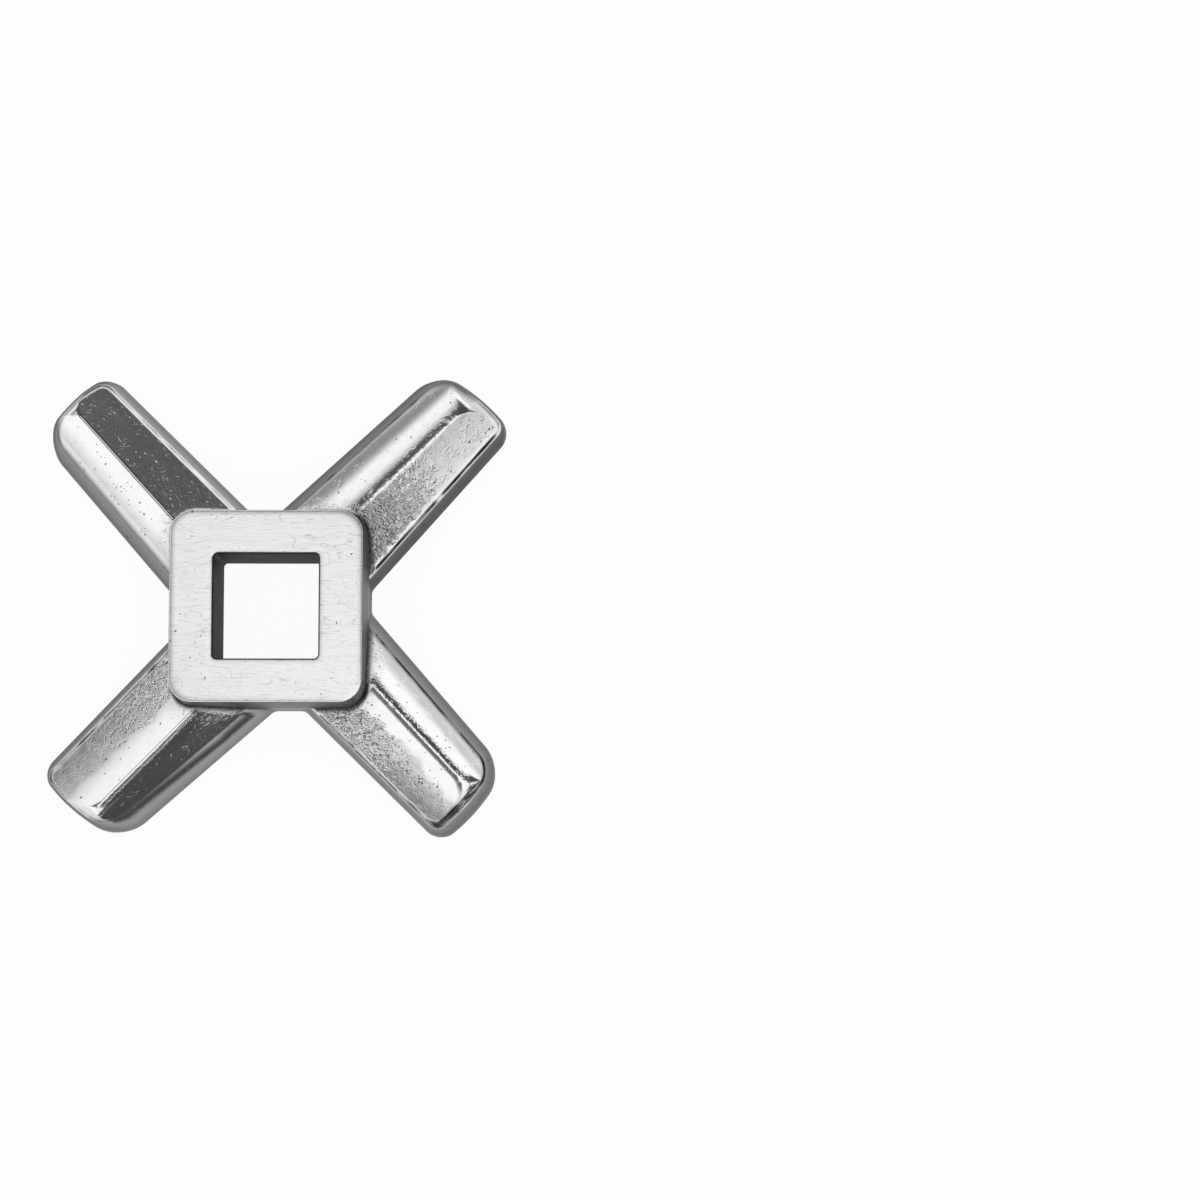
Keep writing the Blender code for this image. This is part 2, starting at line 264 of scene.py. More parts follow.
def soft_noise(x, y, cell, seed):
    """Smooth bumps from -1 to 1: random heights on a lattice of this cell, eased between its points."""
    u, v = x / cell + NOISE_CELLS / 2, y / cell + NOISE_CELLS / 2
    i, j = np.floor(u).astype(int), np.floor(v).astype(int)
    lattice = np.random.default_rng(seed).uniform(-1, 1, (NOISE_CELLS + 1, NOISE_CELLS + 1))
    across, along = eased(u - i), eased(v - j)
    low = mix(lattice[i, j], lattice[i + 1, j], across)
    high = mix(lattice[i, j + 1], lattice[i + 1, j + 1], across)
    return mix(low, high, along)


def layered(arm, x, y, layers):
    """The sum of soft noises over an arm."""
    return sum(height * soft_noise(x, y, cell, arm.seed + step) for height, cell, step in layers)


def points(x, y, z):
    """Places in space from their coordinates; a height may be one number for all."""
    return np.stack(np.broadcast_arrays(x, y, z), axis=-1)


class Side:
    """An arm's steep (sign 1) or gentle (-1) side: a straight line, and its corner with the end."""

    def __init__(self, sign, offsets, inset, radius):
        self.sign, self.offset, self.inset, self.radius = sign, offsets[0], inset, radius
        self.slope = (offsets[1] - offsets[0]) / NOMINAL_REACH
        self.length = math.hypot(1, self.slope)

    def depth(self, x, y):
        return (self.offset + self.slope * x - self.sign * y) / self.length - self.inset

    def y(self, x, depth=0.0):
        return self.sign * (self.offset + self.slope * x - (depth + self.inset) * self.length)


class Outline:
    """A line round an arm: two straight sides and a crowned slanted end with a round corner at each side."""

    def __init__(self, arm, insets, radii):
        self.arm, self.inset, self.length = arm, insets[1], math.hypot(1, arm.slant)
        self.steep = Side(1, arm.steep, insets[0], radii[0])
        self.gentle = Side(-1, arm.gentle, insets[2], radii[1])

    def depths(self, x, y):
        """How far a place lies in from the steep side, the end and the gentle side."""
        b = (self.arm.end_line(y) - x) / self.length - self.inset
        return self.steep.depth(x, y), b, self.gentle.depth(x, y)

    def end_x(self, y, b=0.0):
        return self.arm.end_line(y) - (b + self.inset) * self.length

    def place(self, side, depth, b):
        """The place at these depths in from one side and from the end, settled in a few rounds."""
        x = self.arm.reach - b
        for _ in range(PLACE_ROUNDS):
            y = side.y(x, depth)
            x = self.end_x(y, b)
        return x, y

    def corner(self, side, angle, before=0.0):
        """The place on a round corner at this angle round from its side, or this far before it."""
        radius = side.radius
        return self.place(side, radius * (1 - np.cos(angle)), radius * (1 - np.sin(angle)) + before)

    def end_places(self):
        """Places across the end, from the middle of the steep corner to the middle of the gentle one.

        The steep flank's steps run to the crest's line, and the gentle flank's steps on from there."""
        steep, gentle, eighth = self.steep, self.gentle, math.tau / 8
        y_steep, y_gentle = (self.place(side, side.radius, 0.0)[1] for side in (steep, gentle))
        x = self.arm.reach
        for _ in range(CREST_ROUNDS):
            x = float(self.end_x(self.arm.crest_y(x)))
        first, across = steep.radius * eighth, y_steep - y_gentle
        crest = first + y_steep - self.arm.crest_y(x)
        whole = (steep.radius + gentle.radius) * eighth + y_steep - y_gentle
        t = np.concatenate([mix(0.0, crest, STEEP_SHARES), mix(crest, whole, GENTLE_SHARES[1:])])
        on_steep = self.corner(steep, eighth + np.clip(t / steep.radius, 0, eighth))
        on_gentle = self.corner(gentle, 2 * eighth - np.clip((t - first - across) / gentle.radius, 0, eighth))
        y = y_steep - np.clip(t - first, 0, across)
        return np.where(t < first, on_steep, np.where(t > first + across, on_gentle, [self.end_x(y), y]))

    def edge_depth(self, x, y):
        """How far a place lies in from the whole line, round its corners too."""
        a, b, c = self.depths(x, y)
        found = []
        for depth, radius in ((a, self.steep.radius), (c, self.gentle.radius)):
            round_depth = radius - np.hypot(np.maximum(radius - depth, 0), np.maximum(radius - b, 0))
            inner = (depth > radius) & (b > radius)
            found.append(np.where(inner, np.minimum(depth, b), round_depth))
        return np.minimum(*found)


def boss_half_width(z):
    return BOSS_HALF_WIDTH + BOSS_LEAN * (1 - z / KNIFE_HEIGHT)


def boss_reach(y, z):
    """How far out the boss's corner stands at offset y from an arm's middle line."""
    half = boss_half_width(z)
    flat = half * math.sqrt(2) - np.abs(y)
    bow = (half - BOSS_CORNER) * math.sqrt(2) + np.sqrt(np.maximum(BOSS_CORNER**2 - y * y, 0))
    return np.where(np.abs(y) * math.sqrt(2) > BOSS_CORNER, flat, bow)


def boss_distance(x, y, z):
    """Distance out from the boss's rounded square wall, in an arm's own axes."""
    gx, gy = np.abs(x - y) / math.sqrt(2), np.abs(x + y) / math.sqrt(2)
    core = boss_half_width(z) - BOSS_CORNER
    outside = np.hypot(np.maximum(gx - core, 0), np.maximum(gy - core, 0))
    return outside + np.minimum(np.maximum(gx - core, gy - core), 0) - BOSS_CORNER


def eased_steps(count, near, far, first, last):
    """Shares from 0 to 1, whose steps grow from a first share of their full size and shrink to a last one.

    What a step lacks falls off exponentially from both ends, as fast as near and far say."""
    t = (np.arange(count) + 0.5) / count
    size = 1 - (1 - first) * np.exp(-t * near) - (1 - last) * np.exp(-(1 - t) * far)
    steps = np.concatenate([[0], np.cumsum(size)])
    return steps / steps[-1]


ROW_SHARES = eased_steps(ARM_ROWS, near=14, far=16, first=0.22, last=0.30)
STEEP_SHARES = eased_steps(STEEP_COLUMNS, near=9, far=12, first=0.32, last=0.45)
GENTLE_SHARES = eased_steps(GENTLE_COLUMNS, near=12, far=11, first=0.45, last=0.30)


def lower_of(first, second, blend):
    """The lower of two heights, less the square of how far they are inside the blend over four times it."""
    left = np.maximum(blend - np.abs(first - second), 0)
    return np.minimum(first, second) - left**2 / (4 * np.maximum(blend, NO_BLEND))


def flank_curve(q, slopes):
    """Rise over a flank from its foot, 0, to the crest, 1: a cubic with these slopes, straight past it."""
    t = np.minimum(q, 1)
    inner = slopes[0] * (t**3 - 2 * t**2 + t) + 3 * t**2 - 2 * t**3 + slopes[1] * (t**3 - t**2)
    return inner + slopes[1] * np.maximum(q - 1, 0)


def flank_height(arm, top, x, y):
    """Height of an arm's upper side: the lowest of the steep flank, the gentle flank and the end's roll.

    A flank rises from its foot to the crest by its curve, with the depth in from its side as a share of the
    crest's depth. The roll rises by the depth in from the whole edge. Where they cross they are rounded."""
    a, b, c = top.depths(x, y)
    edge = np.maximum(top.edge_depth(x, y), 0)
    a_crest, _, c_crest = top.depths(x, arm.crest_y(x))
    steep_foot, gentle_foot = arm.feet_at(x)
    steep = mix(steep_foot, CREST_HEIGHT, flank_curve(np.maximum(a, 0) / a_crest, arm.steep_curve))
    gentle = mix(gentle_foot, CREST_HEIGHT, flank_curve(np.maximum(c, 0) / c_crest, arm.gentle_curve))
    rim, slope = arm.lip
    gentle = gentle - slope * np.clip(rim - c, 0, rim) ** 2 / (2 * rim)
    foot = mix(steep_foot, gentle_foot, smooth_step(-SIDE_BLEND, SIDE_BLEND, -y))
    foot = mix(foot, arm.tip_top, 1 - smooth_step(0, TIP_BLEND, b))
    rise, s = CREST_HEIGHT - foot, edge / arm.roll
    past = rise + ROLL_RUN_ON * (edge - arm.roll)
    roll = foot + np.where(s < 1, rise * flank_curve(s, ROLL_CURVE), past)
    shoulder = np.clip(SHOULDER_SHARE * (np.minimum(steep, roll) - foot), 0, SHOULDER_MOST)
    ridge = mix(*arm.ridge, smooth_step(*RIDGE_SPAN, x)) * np.clip(edge / RIDGE_EDGE, RIDGE_LEAST, 1)
    return lower_of(lower_of(steep, roll, shoulder), gentle, ridge)


def groove_depth(arm, x, y, top, width):
    """Depth of the parting groove just above the wall: a bell across it, broken along it by a soft noise."""
    a, b, c = top.depths(x, y)
    at_end = 1 - smooth_step(*GROOVE_END, b)
    broad = mix(1.0, arm.end_groove, at_end * smooth_step(*GENTLE_HALF, arm.crest_y(x) - y))
    depth = mix(np.where(a < c, arm.grooves[0], arm.grooves[2]), arm.grooves[1], at_end)
    mean, least, most = GROOVE_SHARES
    share = np.clip(mean + layered(arm, x, y, GROOVE_BREAKS), least, most)
    return depth * share * bell(top.edge_depth(x, y) / broad, GROOVE_IN, width)


def skin_marks(arm, x, y, top, edge, distance, groove):
    """Marks for the finish: rough skin outside the crest, wrinkles, painted shade on the steep flank's foot,
    and painted shade along the boss's root and the grooves.

    Pits lie thickest along the middle of each flank."""
    a, b, c = top.depths(x, y)
    off = arm.crest_y(x) - y
    inside = smooth_step(POLISHED_SHARE * arm.clean, arm.clean, edge)
    wander = layered(arm, x, y, WANDER) * min(arm.skin[0], 1)
    rough = smooth_step(*arm.skin, off + wander) * inside
    near_boss = (1 - smooth_step(*NEAR_BOSS, distance)) * inside
    steep_side = smooth_step(-CREST_SWITCH, CREST_SWITCH, -off)
    strength = mix(WRINKLES_FAR, WRINKLES_BY_BOSS, 1 - smooth_step(*BY_BOSS, distance))
    at_boss = WRINKLES_AT_BOSS * near_boss * np.maximum(steep_side, arm.wrinkles)
    mottled = arm.mottle * bell(off, *MOTTLE_BELL) * inside
    # Painted shade along the boss's root
    root_shade = (1 - smooth_step(*ROOT_SHADE_BAND, distance)) * smooth_step(0.0, BAND_EDGE, edge)
    across = a / (a + np.maximum(-off, 0)) * steep_side + c / (c + np.maximum(off, 0)) * (1 - steep_side)
    pitted = mix(arm.pitted[1], arm.pitted[0], steep_side) * bell(across, *PIT_BELL)
    # The steep flank's foot is darkened as painted shade, more broadly by the end
    width = mix(FOOT_SHADE, arm.end_shade, 1 - smooth_step(*SHADE_END, b))
    foot_shade_reach = 1 - smooth_step(SHADE_REACH[0] * arm.end_shade, SHADE_REACH[1] * arm.end_shade, a)
    besides = np.maximum(ROUGH_AT_BOSS * near_boss, ROUGH_MOTTLE * mottled)
    return {
        "rough_skin": np.maximum(rough * arm.bare, besides),
        "wrinkles": np.maximum(rough * arm.wrinkles * strength + at_boss, mottled),
        "wall": arm.dull[0] * (1 - smooth_step(0.0, width, edge)) * steep_side * foot_shade_reach,
        # painted shade along the boss's root and in the groove
        "painted_shade": np.maximum(root_shade, groove * GROOVE_SHADE),
        "pitted": pitted + PITS_AT_BOSS * near_boss,
    }


def cast_skin(arm, x, y, rough, distance):
    """Unevenness of the skin: long waves all over, dents where it is rough, sine ripples beside the crest."""
    near_boss = 1 - smooth_step(*HAMMERED, distance)
    dents = layered(arm, x, y, DENTS) * rough * (1 + arm.hammer * near_boss)
    off = y - arm.crest_y(x)
    beside = smooth_step(*RIPPLES_START, off) * (1 - smooth_step(*RIPPLES_STOP, off))
    phase = off * math.tau / RIPPLE_LENGTH + layered(arm, x, y, RIPPLE_SWAY)
    return layered(arm, x, y, WAVES) + dents + arm.ripple * np.sin(phase) * beside


def turned(x, y, turn):
    return np.array([x * math.cos(turn) - y * math.sin(turn), x * math.sin(turn) + y * math.cos(turn)])


def softened(along):
    """A distance that starts on a parabola before zero, so that a corner becomes a small round."""
    inside = (along + CROTCH_SOFTENING) ** 2 / (4 * CROTCH_SOFTENING)
    return np.where(along > CROTCH_SOFTENING, along, np.where(along < -CROTCH_SOFTENING, 0, inside))


def fillet_growth(distance):
    """Rise of the root fillet at a distance from the boss's wall: a quarter circle that ends on the flank."""
    left = np.clip(ROOT_FILLET - distance, 0, ROOT_FILLET)
    return ROOT_FILLET - np.sqrt(ROOT_FILLET**2 - left**2)


def root_place(side, height):
    """Where a side meets the boss's flat wall at this height."""
    corner = boss_half_width(height) * math.sqrt(2)
    x = corner
    for _ in range(ROOT_ROUNDS):
        x = corner - side.sign * side.y(x)
    return x, side.y(x)


def soft_side(outline, side, height):
    """One side's places from the crotch to the middle of its tip corner, its first ones softened."""
    _, b, _ = outline.depths(*root_place(side, height))
    s = ROW_SHARES * (b - side.radius + side.radius * math.tau / 8)
    past = softened(s) - (b - side.radius)
    x, y = outline.corner(side, np.maximum(past, 0) / side.radius, np.maximum(-past, 0))
    shift = softened(-s) / math.sqrt(2)
    return np.array([x - shift, y + side.sign * shift])


def drawn_to(first, last, values, along, ease):
    """Values along a line, drawn to a first and a last one at its ends and left alone far from them."""
    for end, target in ((0, first), (-1, last)):
        values = values + (target - values[end]) * np.exp(-np.abs(along - along[end]) / ease)
    values[0], values[-1] = first, last
    return values


def patch(low, high, root, far, across, along):
    """Places inside four lines: the blends between opposite lines added up, less that of the corners."""
    low, high, root, far = low[..., None], high[..., None], root[:, None], far[:, None]
    along = along[:, None]
    corners = mix(mix(low[:, :1], high[:, :1], across), mix(low[:, -1:], high[:, -1:], across), along)
    return mix(low, high, across) + mix(root, far, along) - corners


def arm_grid(arm, outline):
    """Rows of plan places over an arm: a patch from its steep side to its crest, and one from there on."""
    left = soft_side(outline, outline.steep, STEEP_WALL_TOP + ROOT_FILLET)
    right = soft_side(outline, outline.gentle, GENTLE_WALL_TOP + ROOT_FILLET)
    far = outline.end_places()
    root_x = ROOT_X
    for _ in range(CREST_ROUNDS):
        root_x = float(boss_reach(arm.crest_y(root_x), CREST_HEIGHT + ROOT_FILLET))
    x = mix(root_x, far[0][STEEP_COLUMNS], ROW_SHARES)
    crest = np.array([x, mix(arm.crest_y(root_x), far[1][STEEP_COLUMNS], ROW_SHARES)])
    halves = []
    for low, high, across, steps in (
        (left, crest, STEEP_SHARES, slice(0, STEEP_COLUMNS + 1)),
        (crest, right, GENTLE_SHARES, slice(STEEP_COLUMNS, None)),
    ):
        y_root = mix(low[1][0], high[1][0], across)
        x_root = boss_reach(y_root, CREST_HEIGHT)
        for _ in range(FOOT_ROUNDS):
            x_root = boss_reach(y_root, flank_height(arm, outline, x_root, y_root) + ROOT_FILLET)
        x_root = drawn_to(low[0][0], high[0][0], x_root, y_root, BORDER_EASE)
        halves.append(patch(low, high, np.array([x_root, y_root]), far[:, steps], across, ROW_SHARES))
    return np.concatenate([halves[0], halves[1][..., 1:]], axis=2)


def arm_top(arm):
    """The upper side of an arm: plan places, their heights with fillet, skin and groove, and their marks."""
    outline = Outline(arm, arm.walls, TOP_RADII)
    x, y = arm_grid(arm, outline)
    flank = flank_height(arm, outline, x, y)
    distance = np.maximum(boss_distance(x, y, flank + ROOT_FILLET), 0)
    edge = np.maximum(outline.edge_depth(x, y), 0)
    off_boss = smooth_step(*OFF_BOSS, distance)
    # The groove's depth, and a wider bell over it that sets the painted shade along it
    groove, mark = (
        groove_depth(arm, x, y, outline, width) * off_boss for width in (GROOVE_WIDTH, GROOVE_SHADE_WIDTH)
    )
    marks = skin_marks(arm, x, y, outline, edge, distance, mark)
    skin = cast_skin(arm, x, y, marks["rough_skin"], distance)
    skin = skin * smooth_step(*SKIN_EDGE, edge) * smooth_step(*SKIN_ROOT, distance)
    return x, y, flank + fillet_growth(distance) + skin - groove, marks


def crotch(outline, next_outline, height):
    """Places along the boss's wall from an arm's gentle side to the next one's steep side, soft at both."""
    ends, ways = [], []
    for side, arm in ((outline.gentle, outline.arm), (next_outline.steep, next_outline.arm)):
        ends.append(turned(*root_place(side, height), arm.turn)[:, None])
        ways.append(turned(1.0, side.sign * side.slope, arm.turn)[:, None] / side.length)
    across = ends[1] - ends[0]
    width = np.hypot(*across)[0]
    w = width * (1 - np.cos(np.linspace(0, math.pi, CROTCH_COLUMNS + 1))) / 2
    along = softened(w) - (softened(width - w) - (width - w))
    places = ends[0] + along * across / width
    return places + softened(-w) * ways[0] + softened(w - width) * ways[1], w, width


def crotch_rim(w, width, first_z, last_z):
    """Heights of the wall's top along a crotch: the two feet with the fillet, drawn to the arms' corners."""
    off_wall = (softened(-w) + softened(w - width)) / math.sqrt(2)
    z = mix(GENTLE_WALL_TOP, STEEP_WALL_TOP, w / width) + fillet_growth(off_wall)
    return drawn_to(first_z, last_z, z, w, RIM_EASE)


def wall_rings(arm, next_arm, top_z, next_z):
    """Rings up an arm's wall from the cutting face, each carried on along the boss's wall to the next arm.

    A ring takes its share of the wall's lean, and its height is its share of the height of the wall's top."""
    rim = np.concatenate([top_z[:, 0], top_z[-1, 1:-1], top_z[::-1, -1]])
    rings = []
    for step, lean in zip(WALL_STEPS, WALL_LEANS):
        radii = [mix(base, top, lean) for base, top in zip(BASE_RADII, TOP_RADII)]
        here, there = (Outline(each, [lean * wall for wall in each.walls], radii) for each in (arm, next_arm))
        steep_top, gentle_top = (step * (top + ROOT_FILLET) for top in (STEEP_WALL_TOP, GENTLE_WALL_TOP))
        left, right = soft_side(here, here.steep, steep_top), soft_side(here, here.gentle, gentle_top)
        line = np.concatenate([left, here.end_places()[:, 1:-1], right[:, ::-1]], axis=1)
        line = turned(*line, arm.turn)
        gap, w, width = crotch(here, there, steep_top)
        gap[:, 0] = line[:, -1]
        gap[:, -1] = turned(*soft_side(there, there.steep, steep_top)[:, 0], next_arm.turn)
        z = np.concatenate([rim, crotch_rim(w, width, rim[-1], next_z)[1:]]) * step
        rings.append(points(*np.concatenate([line, gap[:, 1:]], axis=1), z))
    return np.array(rings)


def wall_dull_and_shade(arm, next_arm):
    """How dark the wall is made, partly dull skin and partly painted shade: each side's own share along a
    ring, fading up the last part of the lean.
    """
    steep, end, gentle = arm.dull
    side, corner = ARM_ROWS - CORNER_ROWS, CORNER_ROWS + CORNER_COLUMNS
    across = STEEP_COLUMNS + GENTLE_COLUMNS - 2 * CORNER_COLUMNS
    columns = np.cumsum([0, side, corner, across, corner, side, CROTCH_COLUMNS])
    shares = (steep, steep, end, end, gentle, gentle, next_arm.dull[0])
    along = np.interp(np.arange(columns[-1] + 1), columns, shares)
    return (1 - smooth_step(*WALL_FADE, WALL_LEANS))[:, None] * along


def on_square(core_x, core_y, out_x, out_y, half_width, corner):
    """Places round a rounded square: a place held inside its corners' centres, plus the corner outwards."""
    core = half_width - corner
    return np.clip(core_x, -core, core) + out_x * corner, np.clip(core_y, -core, core) + out_y * corner


def boss_rings(junction):
    """Rings from the arms' roots up the boss's wall, over its edge, across its face and down the square."""
    x, y, z = junction.T
    core = boss_half_width(z) - BOSS_CORNER
    core_x, core_y = np.clip(x, -core, core), np.clip(y, -core, core)
    reach = np.hypot(x - core_x, y - core_y)
    out_x, out_y = (x - core_x) / reach, (y - core_y) / reach
    shoulder = KNIFE_HEIGHT - BOSS_EDGE
    half = boss_half_width(shoulder)
    mouth = SQUARE_HALF_WIDTH + MOUTH_ROUNDING
    inner = (SQUARE_HALF_WIDTH - SQUARE_CORNER) / (half - BOSS_CORNER)
    rings, kinds = [junction], []

    def add(half_width, corner, height, kind, scale=1.0):
        px, py = on_square(core_x * scale, core_y * scale, out_x, out_y, half_width, corner)
        rings.append(points(px, py, height))
        kinds.append(kind)

    edge_turns = np.linspace(0, math.tau / 4, EDGE_STEPS + 1)[1:]
    for share in np.linspace(0, 1, BOSS_WALL_STEPS + 1)[1:]:
        height = mix(z, shoulder, share)
        add(boss_half_width(height), BOSS_CORNER, height, CAST)
    for turn in edge_turns:
        inward, height = BOSS_EDGE * (1 - math.cos(turn)), shoulder + BOSS_EDGE * math.sin(turn)
        add(half - inward, BOSS_CORNER - inward, height, CAST if turn < CAST_ANGLE else GROUND)
    outer = rings[-1]
    add(mouth, SQUARE_CORNER + MOUTH_ROUNDING, KNIFE_HEIGHT, GROUND, inner)
    face = [mix(outer, rings[-1], share) for share in np.linspace(0, 1, FACE_STEPS + 1)[1:]]
    rings[-1:], kinds[-1:] = face, [GROUND] * FACE_STEPS
    for turn in edge_turns:
        inward, down = MOUTH_ROUNDING * math.sin(turn), MOUTH_ROUNDING * (1 - math.cos(turn))
        kind = GROUND if turn < MOUTH_ANGLE else BORE
        add(mouth - inward, SQUARE_CORNER + MOUTH_ROUNDING - inward, KNIFE_HEIGHT - down, kind, inner)
    for share in np.linspace(0, 1, SQUARE_STEPS + 1)[1:]:
        add(SQUARE_HALF_WIDTH, SQUARE_CORNER, (KNIFE_HEIGHT - MOUTH_ROUNDING) * (1 - share), BORE, inner)
    return np.array(rings), kinds


def boss_shade(rings):
    """Marks of the boss's wall: darkened up to its edge, partly dull skin and partly painted shade, with
    painted shade along its root, and none on the rest.
    """
    outside = np.max(np.abs(rings[..., :2]), axis=-1) > BOSS_HALF_WIDTH - BOSS_EDGE
    outside = outside | (np.hypot(rings[..., 0], rings[..., 1]) > BOSS_EDGE_REACH)
    rise = rings[..., 2] - rings[:1, ..., 2]
    painted_shade = BOSS_PAINTED_SHADE * (1 - smooth_step(0.0, BOSS_PAINTED_SHADE_RISE, rise))
    return {"wall": outside * BOSS_DULL_AND_SHADE, "painted_shade": outside * painted_shade, "rough_skin": outside * BOSS_ROUGH}


def cutting_ring(arm, side_ring):
    """The line under the boss's wall across an arm at the cutting face, between the ends of its side ring."""
    bx, by = turned(side_ring[[0, -1], 0], side_ring[[0, -1], 1], -arm.turn)
    middle = arm.crest_y(ROOT_X)
    y = np.concatenate([mix(by[0], middle, STEEP_SHARES), mix(middle, by[1], GENTLE_SHARES[1:])])
    return points(*turned(drawn_to(*bx, boss_reach(y, 0.0), y, BORDER_EASE), y, arm.turn), 0.0)


def grid_quads(grid):
    """Faces between the neighbouring rows and columns of a grid of numbers."""
    return np.stack([grid[:-1, :-1], grid[:-1, 1:], grid[1:, 1:], grid[1:, :-1]], axis=-1)


class Shell:
    """Points, faces, finishes and marks of one closed mesh, gathered block by block and welded at the end."""

    def __init__(self):
        self.points, self.faces, self.kinds, self.count = [], [], [], 0
        self.marks = {name: [] for name in MARKS}

    def add(self, block, **marks):
        """Adds a block of points of any shape and gives back their numbers in the same shape."""
        flat = block.reshape(-1, 3)
        self.points.append(flat)
        for name in MARKS:
            value = np.asarray(marks.get(name, 0.0), float).reshape(-1)
            self.marks[name].append(np.broadcast_to(value, len(flat)))
        numbers = np.arange(len(flat)).reshape(block.shape[:-1]) + self.count
        self.count += len(flat)
        return numbers

    def quads(self, grid, kind):
        """Adds a grid's faces, with one kind for all or one for each row."""
        quads = grid_quads(grid)
        self.faces.append(quads.reshape(-1, 4))
        self.kinds.append(np.repeat(np.broadcast_to(kind, len(quads)), quads.shape[1]))

    def polygon(self, ring, kind):
        self.faces.append(ring.reshape(1, -1))
        self.kinds.append(np.array([kind]))

    def mesh(self, name):
        """The welded mesh: points in the same cell of the weld's width become one, and its faces go on them.

        A four-sided face with two corners welded becomes a triangle, and one with more of them is dropped."""
        gathered = np.concatenate(self.points)
        rounded = np.round(gathered / WELD).astype(np.int64)
        _, first, weld = np.unique(rounded, axis=0, return_index=True, return_inverse=True)
        faces, kinds = [], []
        for block, kind in zip(self.faces, self.kinds):
            welded = weld.reshape(-1)[block]
            differs = welded != np.roll(welded, 1, axis=1)
            if block.shape[1] == 4:
                whole, thin = differs.sum(axis=1) == 4, differs.sum(axis=1) == 3
                faces += welded[whole].tolist() + welded[thin][differs[thin]].reshape(-1, 3).tolist()
                kinds += kind[whole].tolist() + kind[thin].tolist()
            else:
                faces.append(welded[differs].tolist())
                kinds += kind.tolist()
        mesh = bpy.data.meshes.new(name)
        mesh.from_pydata((gathered[first] * MM).tolist(), [], faces)
        mesh.polygons.foreach_set("material_index", np.array(kinds, np.int32))
        for mark, values in self.marks.items():
            layer = mesh.attributes.new(mark, "FLOAT", "POINT")
            layer.data.foreach_set("value", np.concatenate(values)[first].astype(np.float32))
        return mesh


def knife_mesh():
    """The whole knife: arms' tops, walls, boss, square and cutting face, welded along their shared borders.

    Its rings run clockwise: from an arm's steep side round its tip to its gentle side and the next arm."""
    shell = Shell()
    tops = [arm_top(arm) for arm in ARMS]
    junction, base = [], []
    for number in reversed(range(len(ARMS))):
        arm, following = ARMS[number], number - 1
        x, y, z, marks = tops[number]
        top = points(*turned(x, y, arm.turn), z)
        shell.quads(shell.add(top, **marks), CAST)
        rings = wall_rings(arm, ARMS[following], z, tops[following][2][0, 0])
        shell.quads(shell.add(rings, wall=wall_dull_and_shade(arm, ARMS[following])), CAST)
        gap = rings[:, -CROTCH_COLUMNS:-1]
        sides = rings[0, :-CROTCH_COLUMNS]
        under = cutting_ring(arm, sides)
        junction += [top[0], gap[-1]]
        base += [under, gap[0]]
        numbers, root = shell.add(sides), shell.add(under)
        left, right = numbers[: ARM_ROWS + 1], numbers[::-1][: ARM_ROWS + 1]
        out = np.minimum(*(turned(*sides[::step][: ARM_ROWS + 1, :2].T, -arm.turn)[0] for step in (1, -1)))
        bare = int(np.argmax(out > BOSS_HALF_WIDTH * math.sqrt(2)))
        shell.polygon(np.concatenate([root, right[1 : bare + 1], left[bare:0:-1]]), CUTTING)
        shell.quads(np.stack([left[bare:], right[bare:]]), CUTTING)
        shell.polygon(numbers[ARM_ROWS : len(numbers) - ARM_ROWS], CUTTING)
    rings, kinds = boss_rings(np.concatenate(junction))
    rings = np.concatenate([rings, rings[:, :1]], axis=1)
    numbers = shell.add(rings, **boss_shade(rings))
    shell.quads(numbers, kinds)
    base = np.concatenate(base + [base[0][:1]])
    shell.quads(np.stack([numbers[-1], shell.add(base)]), CUTTING)
    return shell.mesh("cast_knife")


def finish_mesh(mesh):
    """Turns every face outwards and shades smooth, with sharp edges where faces meet steeply."""
    bm = bmesh.new()
    bm.from_mesh(mesh)
    bmesh.ops.recalc_face_normals(bm, faces=bm.faces)
    bm.to_mesh(mesh)
    bm.free()
    mesh.shade_smooth()
    mesh.set_sharp_from_angle(angle=SHARP_ANGLE)


